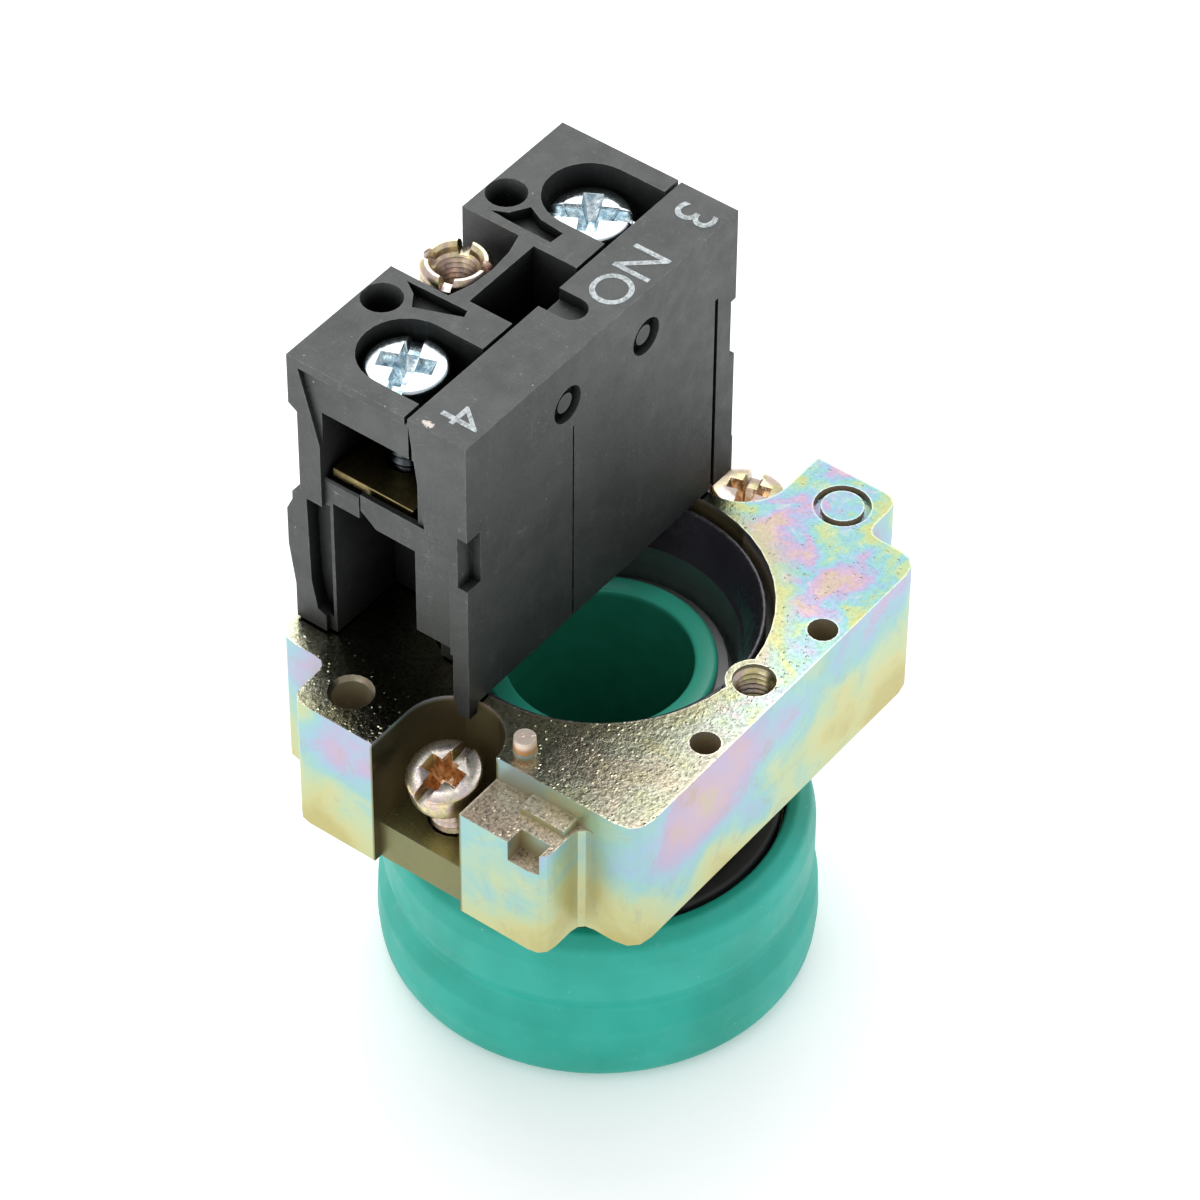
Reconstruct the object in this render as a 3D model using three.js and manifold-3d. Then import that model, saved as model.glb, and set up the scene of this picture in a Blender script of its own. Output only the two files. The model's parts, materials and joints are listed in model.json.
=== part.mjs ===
// Booted panel push button with a metal fixing collar and one normally open contact block.
// Millimetres. Origin: centre of the boot's front face, on the button's axis. +Z runs from the
// front face back to the contact block, +X along the collar's long side, where terminal 3 is.
import * as THREE from "three";
import Module from "manifold-3d";

const wasm = await Module();
wasm.setup();

// ---- driving dimensions ------------------------------------------------------------------
const CLEAR = 0.3; // gap left between two pieces that touch on the real part
const ROUND = 40; // segments round a full circle

const boot = { frontRadius: 15.5, skirtRadius: 15.1, wall: 1.6, back: 13.7, lipRadius: 13 };
const tube = { outer: 8, inner: 6.4, rim: 26.3, discRadius: 12, discFront: 1.9, discBack: 3.6 };
const barrel = { outer: 11.1, inner: 9.9, flange: 13.2, front: 8.5, flangeBack: 12, rim: 31.2 };
const guide = { inner: 8.3, front: 20, back: 24.6 };
const gasket = { inner: 11.4, outer: 12.7, front: 12.3, back: 13.8 };

const collar = { halfWidth: 15, halfLong: 15.85, halfEars: 19.85, earHalfWidth: 10.5 };
const collarFront = 20.75, collarBack = 32, collarBore = 11.7;
const shelfBack = 24, padBack = 30; // floor of the screw slots; top of the two lowered pads
const key = { y: -12.7, boss: 1.95 }; // threaded boss that keys the collar to the barrel
const mount = { x: 0.75, y: 12.5 }; // where the block is screwed to the collar

const block = { middle: 0.65, halfLength: 14.4, low: 0.3, high: 14.8 };
const blockFront = 32.2, blockBack = 55.6, coverBack = 55.55, seam = 4.95;
const chamber = { front: 33.4, back: 49.7 }; // the hollow round the contacts, inside the block
const deck = 51.7; // underside of the block's top plate
const lip = { front: 44, base: 45.9, cover: 46.4, inner: 13.85 }; // ledges under each wire opening
const terminal = { offset: 9.65, y: 8.85, well: 3.25, head: 2.85, back: { 3: 54.2, 4: 54.8 } };
const plungerY = 7.2; // the contact plunger stands on the rim of the button's tube
const bridgeZ = [40.4, 41.2], movingTip = [41.5, 42.3], fixedTip = [44.95, 45.6];
const plateZ = [45.9, 46.6]; // the brass plate the wire lies on

const clamp = { x: 16.9, headBack: 29.4, tilt: 13, head: 2.65, shank: 1.6, length: 11.6 };

const finish = {
  boot: { color: 0x1fa38f, roughness: 0.62, metalness: 0 },
  greenPlastic: { color: 0x1f9e72, roughness: 0.4, metalness: 0 },
  blackPlastic: { color: 0x2a2c2b, roughness: 0.6, metalness: 0 },
  blackRubber: { color: 0x161616, roughness: 0.8, metalness: 0 },
  yellowZinc: { color: 0xc9b878, roughness: 0.35, metalness: 0.9 },
  brightZinc: { color: 0xc3cbd0, roughness: 0.25, metalness: 0.95 },
  springSteel: { color: 0x9a9c9e, roughness: 0.3, metalness: 0.9 },
  brass: { color: 0xb08d45, roughness: 0.35, metalness: 0.9 },
  silver: { color: 0xd9dadb, roughness: 0.25, metalness: 0.95 },
  ivoryPlastic: { color: 0xe4e1d4, roughness: 0.5, metalness: 0 },
};

// ---- solids ------------------------------------------------------------------------------
// Turns a closed three.js geometry into a solid that booleans can cut and join.
function solid(geometry) {
  const flat = geometry.index ? geometry.toNonIndexed() : geometry;
  const from = flat.getAttribute("position");
  const seen = new Map();
  const corners = [];
  const triangles = [];
  for (let i = 0; i < from.count; i++) {
    const p = [from.getX(i), from.getY(i), from.getZ(i)];
    const key = p.map((c) => Math.round(c * 1e4)).join();
    if (!seen.has(key)) {
      seen.set(key, corners.length / 3);
      corners.push(...p);
    }
    triangles.push(seen.get(key));
  }
  const kept = [];
  for (let i = 0; i < triangles.length; i += 3) {
    const [a, b, c] = triangles.slice(i, i + 3);
    if (a !== b && b !== c && a !== c) kept.push(a, b, c);
  }
  const made = new wasm.Manifold(new wasm.Mesh({
    numProp: 3,
    vertProperties: new Float32Array(corners),
    triVerts: new Uint32Array(kept),
  }));
  if (made.volume() <= 0) throw new Error("a solid's faces point inwards");
  return made;
}

function box([x0, x1], [y0, y1], [z0, z1]) {
  const g = new THREE.BoxGeometry(x1 - x0, y1 - y0, z1 - z0);
  return solid(g.translate((x0 + x1) / 2, (y0 + y1) / 2, (z0 + z1) / 2));
}

// A box on one end of the block: x is counted outwards from the block's middle, side is +1 or -1.
function endBox(side, [x0, x1], y, z) {
  const x = [block.middle + side * x0, block.middle + side * x1].sort((a, b) => a - b);
  return box(x, y, z);
}

// A round bar standing along Z at (x, y).
function rod(x, y, radius, [z0, z1], segments = 24) {
  const g = new THREE.CylinderGeometry(radius, radius, z1 - z0, segments).rotateX(Math.PI / 2);
  return solid(g.translate(x, y, (z0 + z1) / 2));
}

// A cone frustum along Z: radius r0 at z0, r1 at z1.
function cone(x, y, r0, r1, [z0, z1], segments = 24) {
  const g = new THREE.CylinderGeometry(r1, r0, z1 - z0, segments).rotateX(Math.PI / 2);
  return solid(g.translate(x, y, (z0 + z1) / 2));
}

// A ring or disc turned about Z. The profile is [radius, z] pairs, anticlockwise seen with the
// radius to the right and z up; it closes on itself or runs from the axis back to the axis.
function turned(profile, segments = ROUND) {
  const onAxis = profile[0][0] === 0;
  const points = profile.map(([r, z]) => new THREE.Vector2(r, z));
  if (!onAxis) points.push(points[0].clone());
  return solid(new THREE.LatheGeometry(points, segments).rotateX(Math.PI / 2));
}

// A prism with the given [x, y] outline, from z0 to z1.
function prism(outline, [z0, z1]) {
  const shape = new THREE.Shape(outline.map(([x, y]) => new THREE.Vector2(x, y)));
  const g = new THREE.ExtrudeGeometry(shape, { depth: z1 - z0, bevelEnabled: false });
  return solid(g.translate(0, 0, z0));
}

// Rounds the corners of an outline given as [x, y, radius].
function rounded(corners, steps = 3) {
  const out = [];
  corners.forEach(([x, y, radius], i) => {
    const here = new THREE.Vector2(x, y);
    const before = new THREE.Vector2(...corners.at(i - 1).slice(0, 2)).sub(here).normalize();
    const next = corners[(i + 1) % corners.length];
    const after = new THREE.Vector2(next[0], next[1]).sub(here).normalize();
    const back = radius / Math.tan(before.angleTo(after) / 2);
    const start = here.clone().addScaledVector(before, back);
    const end = here.clone().addScaledVector(after, back);
    const curve = new THREE.QuadraticBezierCurve(start, here, end);
    for (const p of radius ? curve.getPoints(steps) : [here]) out.push([p.x, p.y]);
  });
  return out;
}

// A compression spring standing along Z at (x, y), with closed turns at both ends.
function spring(x, y, radius, wire, [z0, z1], turns, stepsPerTurn = 12) {
  class Coil extends THREE.Curve {
    getPoint(t) {
      const a = 2 * Math.PI * turns * t;
      const rise = THREE.MathUtils.smoothstep(t, 0.02, 0.98);
      const z = THREE.MathUtils.lerp(z0 + wire, z1 - wire, 0.35 * rise + 0.65 * t);
      return new THREE.Vector3(x + radius * Math.cos(a), y + radius * Math.sin(a), z);
    }
  }
  const ring = [];
  for (let i = 0; i < 5; i++) {
    const a = (2 * Math.PI * i) / 5;
    ring.push(new THREE.Vector2(wire * Math.cos(a), wire * Math.sin(a)));
  }
  const steps = turns * stepsPerTurn;
  return solid(new THREE.ExtrudeGeometry(new THREE.Shape(ring), {
    steps, extrudePath: new Coil(), bevelEnabled: false,
  }));
}

function cut(body, ...tools) {
  return tools.reduce((left, tool) => left.subtract(tool), body);
}

function join(...bodies) {
  return bodies.reduce((all, one) => all.add(one));
}

function turn(body, degrees, about) {
  return body.rotate({ x: [degrees, 0, 0], y: [0, degrees, 0], z: [0, 0, degrees] }[about]);
}

// A prism along X at one end of the block: an outline in [y, z] between two distances from the
// block's middle.
function endPrism(side, outline, x) {
  const stood = turn(turn(prism(outline, x), 90, "z"), 90, "y");
  return (side > 0 ? stood : stood.mirror([1, 0, 0])).translate(block.middle, 0, 0);
}

// ---- operating head ----------------------------------------------------------------------
// One green rubber cap: front wall, drum-shaped skirt with a crease, and a lip behind the flange.
function rubberBoot() {
  const { frontRadius: front, skirtRadius: skirt, wall, back, lipRadius } = boot;
  return turned([
    [0, 0], [13.6, 0], [14.7, 0.4], [15.3, 1.3], [front, 2.7], [15.4, 4.6], [skirt, 6.2],
    [14.85, 6.9], [skirt, 7.7], [skirt, 11.6], [14.85, 12.9], [14.1, back], [lipRadius, back],
    [lipRadius, barrel.flangeBack + CLEAR], [skirt - wall, barrel.flangeBack + CLEAR],
    [skirt - wall, 4], [13, wall], [0, wall],
  ]);
}

// The pushed piece: a disc behind the boot's front wall and the long tube that works the contacts.
function pushButton() {
  const { outer, inner, rim, discRadius, discFront, discBack } = tube;
  return turned([
    [0, discFront], [discRadius - 0.6, discFront], [discRadius, discFront + 0.6],
    [discRadius, discBack], [outer, discBack], [outer, 24.7], [7.5, 24.7], [7.5, 25.8],
    [outer, 25.8], [outer, rim - 0.3], [outer - 0.3, rim], [inner, rim], [inner, 7], [0, 7],
  ]);
}

// Steel ring in the tube's groove: it stops the button against the back of the guide.
function retainingRing() {
  const ring = turned([[7.8, 24.9], [8.75, 24.9], [8.75, 25.6], [7.8, 25.6]]);
  return cut(ring, box([-0.9, 0.9], [-9.5, -7], [24, 26.5]));
}

// Black barrel with its flange; the guide inside it carries the tube.
function headBarrel() {
  const { outer, inner, flange, front, flangeBack, rim } = barrel;
  const body = turned([
    [inner, front], [flange - 0.5, front], [flange, front + 0.5], [flange, flangeBack],
    [outer, flangeBack], [outer, rim - 0.2], [outer - 0.1, rim], [outer - 0.25, rim], [9.7, 28.3],
    [9.45, 28], [9, guide.back], [guide.inner, guide.back], [guide.inner, guide.front],
    [inner, guide.front],
  ]);
  return cut(body, rod(0, key.y, key.boss + CLEAR, [collarFront - 0.5, rim + 1], 24));
}

function panelGasket() {
  const { inner, outer, front, back } = gasket;
  return turned([
    [inner, front], [outer, front], [outer, back - 0.3], [outer - 0.3, back], [inner, back],
  ]);
}

function returnSpring() {
  return spring(0, 0, 8.95, 0.35, [tube.discBack + CLEAR, guide.front - CLEAR], 6, 16);
}

// ---- fixing collar -----------------------------------------------------------------------
function collarOutline() {
  const { halfWidth: w, halfLong: l, halfEars: e, earHalfWidth: h } = collar;
  const quarter = (sx, sy) => [
    [sx * l, sy * w, 1.8], [sx * l, sy * h, 1.1], [sx * e, sy * h, 1.3],
  ];
  return rounded([
    ...quarter(1, -1), ...quarter(1, 1).reverse(),
    ...quarter(-1, 1), ...quarter(-1, -1).reverse(),
  ]);
}

// Everything cut into the collar at its -X end. The +X end is the same turned half a turn.
function collarEndCuts() {
  const { halfLong, halfEars } = collar;
  const slot = join(
    box([-halfEars - 1, -16.1], [-3.6, 3.6], [shelfBack, collarBack + 1]),
    rod(-16.1, 0, 3.6, [shelfBack, collarBack + 1], 32),
    box([-halfEars - 1, -19.2], [-3.6, 3.6], [collarFront - 1, collarBack]),
  );
  const pad = box([-halfEars - 1, -halfLong], [-12, -3.5], [padBack, collarBack + 1]);
  const pocket = box([-halfEars - 1, -18.4], [-10, -7.6], [padBack - 1.7, padBack + 1]);
  const run = Math.tan(THREE.MathUtils.degToRad(clamp.tilt)) * (clamp.headBack - shelfBack);
  const screwHole = turn(rod(0, 0, 1.95, [-6, 1], 20), -clamp.tilt, "y")
    .translate(run - clamp.x, 0, shelfBack);
  return join(slot, pad, pocket, screwHole);
}

function fixingCollar() {
  const { halfLong } = collar;
  const body = prism(collarOutline(), [collarFront, collarBack]);
  const bore = rod(0, 0, collarBore, [collarFront - 1, collarBack + 1], 48);
  const seat = rod(0, 0, 13, [collarFront - 1, collarFront + 1.2], 48);
  const ends = collarEndCuts();
  const round = [];
  for (const [x, y] of [[-6.55, -13.55], [6.55, -13.55], [-6.55, 13.55], [6.55, 13.55]])
    round.push(rod(x, y, 1.05, [collarBack - 3, collarBack + 1], 16));
  for (const { x, y } of [{ x: 0, y: key.y }, mount])
    round.push(rod(x, y, 1.5, [collarFront - 1, collarBack + 1], 20));
  round.push(rod(-17, 7.6, 1.3, [collarFront - 1, collarBack + 1], 20));
  round.push(cone(-17, 7.6, 1.2, 1.6, [collarBack - 0.4, collarBack + 0.001], 20));
  const mark = [collarBack - 0.4, collarBack + 1];
  round.push(cut(rod(17, -7.7, 2, mark, 24), rod(17, -7.7, 1.5, mark, 24)));
  const peg = cone(-14.2, -4.65, 0.85, 0.75, [collarBack - 0.5, collarBack + 1.25], 16);
  const boss = rod(0, key.y, key.boss, [collarFront, collarBack], 24);
  const tile = box([-17.3, -halfLong + 0.1], [-10.2, -6.6], [padBack - 1, padBack + 0.5]);
  const shell = cut(join(cut(body, bore, seat), boss), ends, turn(ends, 180, "z"), ...round);
  return join(shell, peg, turn(peg, 180, "z"), tile);
}

// A collar screw, stood at the origin with its head's top at z = 0, then leant and put in place.
function clampScrew(side) {
  const { head, shank, length, tilt, x, headBack } = clamp;
  const body = turned([
    [0, -length], [shank - 0.5, -length], [shank, -length + 0.6], [shank, -2], [head, -2],
    [head, -0.3], [head - 0.3, 0], [0, 0],
  ], 24);
  const recess = driveRecess(0, 0, 0, 1.5);
  const screw = turn(cut(body, recess), side * tilt, "y");
  return screw.translate(side * x, 0, headBack);
}

// A cross with one arm carried out to the rim as a slot, cut down from height z.
function driveRecess(x, y, z, depth) {
  const arm = box([-1.55, 1.55], [-0.4, 0.4], [-depth, 1]);
  const slot = box([-3, 3], [-0.42, 0.42], [-0.7, 1]);
  const cross = join(arm, turn(arm, 90, "z"), cone(0, 0, 0.3, 1, [-depth, 0.01], 12));
  return turn(join(cross, slot), 24, "z").translate(x, y, z);
}

// ---- contact block housing ---------------------------------------------------------------
const blockX = [block.middle - block.halfLength, block.middle + block.halfLength];

// What the sloping back of the base's ledge loses, between two depths y.
function ledgeSlope(side, [y0, y1]) {
  const end = block.halfLength;
  const sloped = prism([
    [end - 0.5, lip.base + 0.01], [end + 1, lip.base - 1.4], [end + 1, lip.base + 0.01],
  ], [-y1, -y0]);
  const stood = turn(sloped, 90, "x");
  return (side > 0 ? stood : stood.mirror([1, 0, 0])).translate(block.middle, 0, 0);
}

// The space inside the block that the plunger, its spring and the bridge move in.
function chamberSpace() {
  const { front, back } = chamber;
  const m = block.middle;
  return join(
    box([m - 2.4, m + 2.4], [4.9, 9.4], [front, back]),
    box([m - 1.5, m + 1.5], [2.1, 5], [38.1, back]),
    box([m - 5.4, m + 5.4], [5.8, 8.6], [39.8, plateZ[1] + CLEAR]),
  );
}

// What each end of the base loses: screw well, wire opening, plate slot and the recess below.
function baseEndCuts(side) {
  const { halfLength: end } = block;
  const x = terminal.offset;
  const axis = block.middle + side * x;
  const panel = [[4, 54.9], [4, 31], [12.3, 31], [12.3, 49], [13.9, 54.9]];
  const nick = [[14.1, 43.9], [15, 43.5], [15, 51.6], [14.1, 51]];
  const groove = [[11.9, 33.4], [13, 33.9], [13.45, 36.3], [13.6, 43.6], [11.9, 43.6]];
  return join(
    rod(axis, terminal.y, terminal.well, [deck - 0.5, blockBack + 1], 32),
    endBox(side, [x - terminal.well, x + terminal.well], [4, terminal.y], [deck - 0.5, 57]),
    endBox(side, [6.3, end + 1], [4, 12.3], [lip.base, deck]),
    endBox(side, [6.3, lip.inner], [4, 12.3], [plateZ[0] - CLEAR, deck]),
    endBox(side, [lip.inner - CLEAR, end + 1], [4, 9.45], [lip.front - CLEAR, lip.base + 0.1]),
    ledgeSlope(side, [9, 12.3]),
    endPrism(side, panel, [end - 0.35, end + 1]),
    endPrism(side, nick, [end - 2, end + 1]),
    endPrism(side, groove, [end - 1.1, end + 1]),
    endBox(side, [7.9, end + 1], [4, 11.65], [31, lip.front]),
    rod(axis, terminal.y, 1.7, [41.3, 47], 16),
    endBox(side, [2.3, 6.5], [4, 8.6], [plateZ[0] - CLEAR, plateZ[1] + CLEAR]),
  );
}

// The bulge down the outer corner of the base at each end.
function baseLeg(side) {
  const { halfLength: end, high } = block;
  const outline = [[14, 43.5], [high, 42.9], [high + 0.5, 41.8], [high + 0.5, 38.6],
    [high - 0.1, 34.5], [14, 33.4]];
  return endPrism(side, outline.reverse(), [end - 3, end]);
}

// The shallow hollows in the block's back between the screw bay and the terminals' wells.
const pockets = [
  [[5, 8.05], [6.2, 7.95], [6.4, 9.95], [7, 11.2], [5.7, 12], [5.15, 13.1], [5.05, 11.65]],
  [[-3.6, 13.1], [-4.3, 12], [-5.4, 11.25], [-4.1, 8], [-3.5, 8.2]],
];

function blockBase() {
  const body = box(blockX, [seam + 0.25, block.high], [blockFront, blockBack]);
  const m = block.middle;
  const window = box([m - 3.35, m + 3.4], [4, 8.7], [chamber.back - 1, blockBack + 1]);
  const stemHole = box([m - 2.1, m + 2.1], [6.1, 8.3], [31, chamber.front + 0.5]);
  const bay = [[m - 3.75, 10.1], [m + 3.65, 10.1], [m + 3.65, 16], [m - 3.75, 16]];
  const mouth = [[m - 3.75, 10.1], [m - 2, 9.55], [m, 9.4], [m + 2, 9.6], [m + 3.65, 10.1]];
  const screwBay = join(
    prism(bay, [36.5, blockBack + 1]), prism([...mouth, ...bay.slice(2)], [50.5, blockBack + 1]),
  );
  const screwHole = rod(mount.x, mount.y, 1.6, [31, 37], 20);
  const hollows = pockets.map((outline) => prism(outline, [blockBack - 0.9, blockBack + 1]));
  for (const x of [m - 6.5, m + 6.5]) {
    hollows.push(rod(x, 13.35, 1.05, [blockBack - 3.5, blockBack + 1], 20));
    hollows.push(cone(x, 13.35, 1.05, 1.45, [blockBack - 1.2, blockBack + 0.001], 20));
  }
  return cut(
    join(body, baseLeg(-1), baseLeg(1)), chamberSpace(), window, stemHole, screwBay, screwHole,
    ...hollows, baseEndCuts(-1), baseEndCuts(1),
  );
}

// What each end of the cover loses: the flange's set-back, the open foot, the wire opening's edge.
function coverEndCuts(side) {
  const { halfLength: end, low } = block;
  return join(
    endBox(side, [end - 0.45, end + 1], [low + 1.5, 6], [36.5, lip.front]),
    endBox(side, [end - 2.9, end + 1], [low + 1.3, 6], [31, 36.5]),
    endBox(side, [6.3, end + 1], [seam - 0.4, 6], [plateZ[0] - CLEAR, deck]),
    endPrism(side, [[3.4, 44], [6, 44], [6, 54.9], [4.9, 54.9]], [end - 0.35, end + 1]),
  );
}

// The cover's half of the ledge under a wire opening; it reaches past the seam to meet the base's.
function coverLip(side) {
  const { front, cover, inner } = lip;
  const outline = [[seam - 1.6, front], [7.9, front], [9.15, front + 1], [9.15, cover],
    [seam - 1.6, cover]];
  return endPrism(side, outline, [inner, block.halfLength - 0.15]);
}

// A round dimple in the cover's outer face with a small stud left standing in it.
function dimple(x, z) {
  const ring = cut(rod(0, 0, 1.4, [-1, 0.8], 20), rod(0, 0, 0.75, [0.25, 1], 16));
  return turn(ring, -90, "x").translate(x, block.low, z);
}

function blockCover() {
  const { low, halfLength: end } = block;
  const body = box(blockX, [low, seam], [blockFront, coverBack]);
  const slot = join(
    box([-0.3, 1.9], [3.1, 6], [coverBack - 1, blockBack + 1]),
    rod(0.8, 3.1, 1.1, [coverBack - 1, blockBack + 1], 20),
  );
  const split = endBox(1, [12.05, 12.4], [-1, 1.9], [31, 49.3]);
  const groove = box([-2.7, -2.55], [-1, low + 0.2], [31, 49.4]);
  const latch = endBox(-1, [end - 1.4, end + 1], [low - 1, low + 0.8], [43, 47.4]);
  const setBack = endBox(1, [end - 0.5, end + 1], [low - 1, 3.7], [43, 47.9]);
  const shell = cut(
    body, chamberSpace(), slot, split, groove, latch, setBack, dimple(-3.25, 51.7),
    dimple(5.1, 51.6), coverEndCuts(-1), coverEndCuts(1),
  );
  const foot = endBox(-1, [13.55, end], [low, low + 1], [31.3, blockFront + 0.5]);
  return join(shell, coverLip(-1), coverLip(1), foot);
}

// Hollow screw that holds the block to the collar: four teeth round its open end.
function mountingScrew() {
  const sleeve = turned([
    [0, 24], [0.8, 24], [1.15, 24.5], [1.15, 36.9], [2, 36.9], [2, 50.9], [2.45, 51.4],
    [2.45, 54.5], [2.25, 54.7], [1.5, 54.7], [1.5, 49.5], [0, 49.5],
  ], 24);
  const notch = box([-3, 3], [-0.45, 0.45], [53.8, 56]);
  const notches = join(notch, turn(notch, 90, "z"));
  return cut(sleeve, turn(notches, 20, "z")).translate(mount.x, mount.y, 0);
}

// ---- terminals ---------------------------------------------------------------------------
function terminalScrew(number, side) {
  const { back, head, y, offset } = terminal;
  const top = back[number];
  const body = turned([
    [0, 43.2], [0.9, 43.2], [1.3, 43.7], [1.3, top - 2], [head, top - 2], [head, top - 0.3],
    [head - 0.3, top], [0, top],
  ], 24);
  return cut(body, driveRecess(0, 0, top, 1.5)).translate(block.middle + side * offset, y, 0);
}

// Brass saddle carried by the terminal screw: a washer under the head and a plate over the wire.
function cableClamp(number, side) {
  const { y, offset: x, back } = terminal;
  const head = back[number] - 2 - CLEAR;
  const washer = endBox(side, [x - 2, x + 2], [y - 2, y + 2], [head - 1.2, head]);
  const plate = endBox(side, [x - 2, x + 2.4], [6, 11.9], [head - 2, head - 1.1]);
  const edge = endBox(side, [x + 1.8, x + 2.4], [6, 11.9], [head - 2.4, head - 1.1]);
  const hole = rod(block.middle + side * x, y, 1.6, [head - 3, head + 1], 16);
  return cut(join(washer, plate, edge), hole);
}

// Brass plate the wire lies on, with the arm that carries the fixed contact into the chamber.
function terminalPlate(side) {
  const { y, offset: x } = terminal;
  const plate = endBox(side, [6.8, lip.inner - CLEAR], [5.35, 12], plateZ);
  const arm = endBox(side, [2.8, 7], [6.2, 8.2], plateZ);
  const hole = [plateZ[0] - 1, plateZ[1] + 1];
  return cut(join(plate, arm), rod(block.middle + side * x, y, 1.6, hole, 16));
}

function contactTip(side, z) {
  return rod(block.middle + side * 3.9, plungerY, 0.85, z, 16);
}

// ---- moving contacts ---------------------------------------------------------------------
function contactBridge() {
  const m = block.middle;
  const bar = box([m - 5, m + 5], [plungerY - 1, plungerY + 1], bridgeZ);
  const stud = rod(m, plungerY, 0.45, [bridgeZ[0] - 0.8, bridgeZ[0] + 0.3], 12);
  return join(bar, stud);
}

// Plunger that stands on the tube's rim; the bridge rides in the window through its cage.
function contactPlunger() {
  const m = block.middle;
  const y = plungerY;
  const stem = box([m - 1.7, m + 1.7], [y - 0.7, y + 0.7], [tube.rim + CLEAR, 34.5]);
  const cage = box([m - 2, m + 2], [y - 1.9, y + 1.9], [34, 42.7]);
  const window = box([m - 3, m + 3], [y - 1.25, y + 1.25], [36.2, bridgeZ[1] + CLEAR]);
  const tail = box([m - 1.6, m + 1.6], [y - 1.2, y + 1.2], [42.2, 48]);
  const arm = box([m - 1.2, m + 1.2], [2.4, y - 1.5], [38.6, 39.8]);
  return join(cut(join(stem, cage, arm), window), tail);
}

// ---- assembly ----------------------------------------------------------------------------
const group = new THREE.Group();
group.name = "booted_push_button";

function add(name, body, look) {
  const { vertProperties, triVerts } = body.getMesh();
  const g = new THREE.BufferGeometry();
  g.setAttribute("position", new THREE.BufferAttribute(new Float32Array(vertProperties), 3));
  g.setIndex(new THREE.BufferAttribute(new Uint32Array(triVerts), 1));
  g.computeVertexNormals();
  const mesh = new THREE.Mesh(g, new THREE.MeshStandardMaterial(finish[look]));
  mesh.name = name;
  group.add(mesh);
}

add("rubber_boot", rubberBoot(), "boot");
add("push_button", pushButton(), "greenPlastic");
add("retaining_ring", retainingRing(), "springSteel");
add("button_spring", returnSpring(), "springSteel");
add("head_barrel", headBarrel(), "blackPlastic");
add("panel_gasket", panelGasket(), "blackRubber");
add("fixing_collar", fixingCollar(), "yellowZinc");
add("clamp_screw_a", clampScrew(-1), "yellowZinc");
add("clamp_screw_b", clampScrew(1), "yellowZinc");
add("block_base", blockBase(), "blackPlastic");
add("block_cover", blockCover(), "blackPlastic");
add("mounting_screw", mountingScrew(), "yellowZinc");
for (const [number, side] of [[3, 1], [4, -1]]) {
  add(`terminal_screw_${number}`, terminalScrew(number, side), "brightZinc");
  add(`cable_clamp_${number}`, cableClamp(number, side), "brass");
  add(`terminal_plate_${number}`, terminalPlate(side), "brass");
  add(`fixed_tip_${number}`, contactTip(side, fixedTip), "silver");
  add(`moving_tip_${number}`, contactTip(side, movingTip), "silver");
}
add("contact_bridge", contactBridge(), "brass");
add("contact_plunger", contactPlunger(), "ivoryPlastic");
const { middle } = block;
add("bridge_spring", spring(middle, plungerY, 0.85, 0.16, [36.5, 40.1], 4, 10), "springSteel");
add("plunger_spring", spring(middle, 3.5, 0.95, 0.18, [40.1, 49.4], 7, 10), "springSteel");

export default group;
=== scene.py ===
"""Looks for the booted panel push button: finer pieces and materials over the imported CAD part."""

import json
import math

import bmesh
import bpy
from mathutils import Matrix, Vector


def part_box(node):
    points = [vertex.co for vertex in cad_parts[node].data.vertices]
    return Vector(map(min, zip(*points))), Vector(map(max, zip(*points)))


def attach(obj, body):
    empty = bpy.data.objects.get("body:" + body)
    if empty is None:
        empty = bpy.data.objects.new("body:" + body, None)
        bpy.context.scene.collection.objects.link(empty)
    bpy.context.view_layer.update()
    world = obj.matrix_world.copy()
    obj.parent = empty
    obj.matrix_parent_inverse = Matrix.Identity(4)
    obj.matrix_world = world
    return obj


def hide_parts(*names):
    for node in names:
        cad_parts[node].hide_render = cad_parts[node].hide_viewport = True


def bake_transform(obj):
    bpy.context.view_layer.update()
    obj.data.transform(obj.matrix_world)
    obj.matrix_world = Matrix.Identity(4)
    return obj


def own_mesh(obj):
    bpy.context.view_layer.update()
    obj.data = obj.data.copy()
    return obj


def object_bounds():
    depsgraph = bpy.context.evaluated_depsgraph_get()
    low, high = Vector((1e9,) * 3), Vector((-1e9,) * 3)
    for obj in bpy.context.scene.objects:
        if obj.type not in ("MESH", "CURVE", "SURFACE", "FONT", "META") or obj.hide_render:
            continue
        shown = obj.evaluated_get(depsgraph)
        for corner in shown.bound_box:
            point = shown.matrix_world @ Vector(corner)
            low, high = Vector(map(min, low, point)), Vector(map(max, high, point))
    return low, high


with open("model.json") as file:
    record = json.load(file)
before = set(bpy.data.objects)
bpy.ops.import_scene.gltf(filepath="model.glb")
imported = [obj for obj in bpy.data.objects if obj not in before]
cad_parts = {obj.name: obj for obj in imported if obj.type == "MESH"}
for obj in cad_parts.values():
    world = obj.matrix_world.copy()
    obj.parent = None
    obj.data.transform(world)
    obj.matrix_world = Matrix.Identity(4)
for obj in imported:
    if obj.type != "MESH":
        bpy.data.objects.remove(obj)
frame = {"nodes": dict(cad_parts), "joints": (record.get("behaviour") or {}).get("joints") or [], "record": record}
cad_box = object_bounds()
MM = 0.001
COLLAR_BACK = 32.0  # the collar's polished back plane, in millimetres along Z
TAPPED_HOLE = (0, -12.7)  # middle of the collar's open tapped hole, in millimetres
bodies = frame["record"]["behaviour"]["bodies"]
body_of = {node: body for body, nodes in bodies.items() for node in nodes}
slot_of = {part["node"]: part["material_slot"] for part in frame["record"]["subparts"]}


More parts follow.
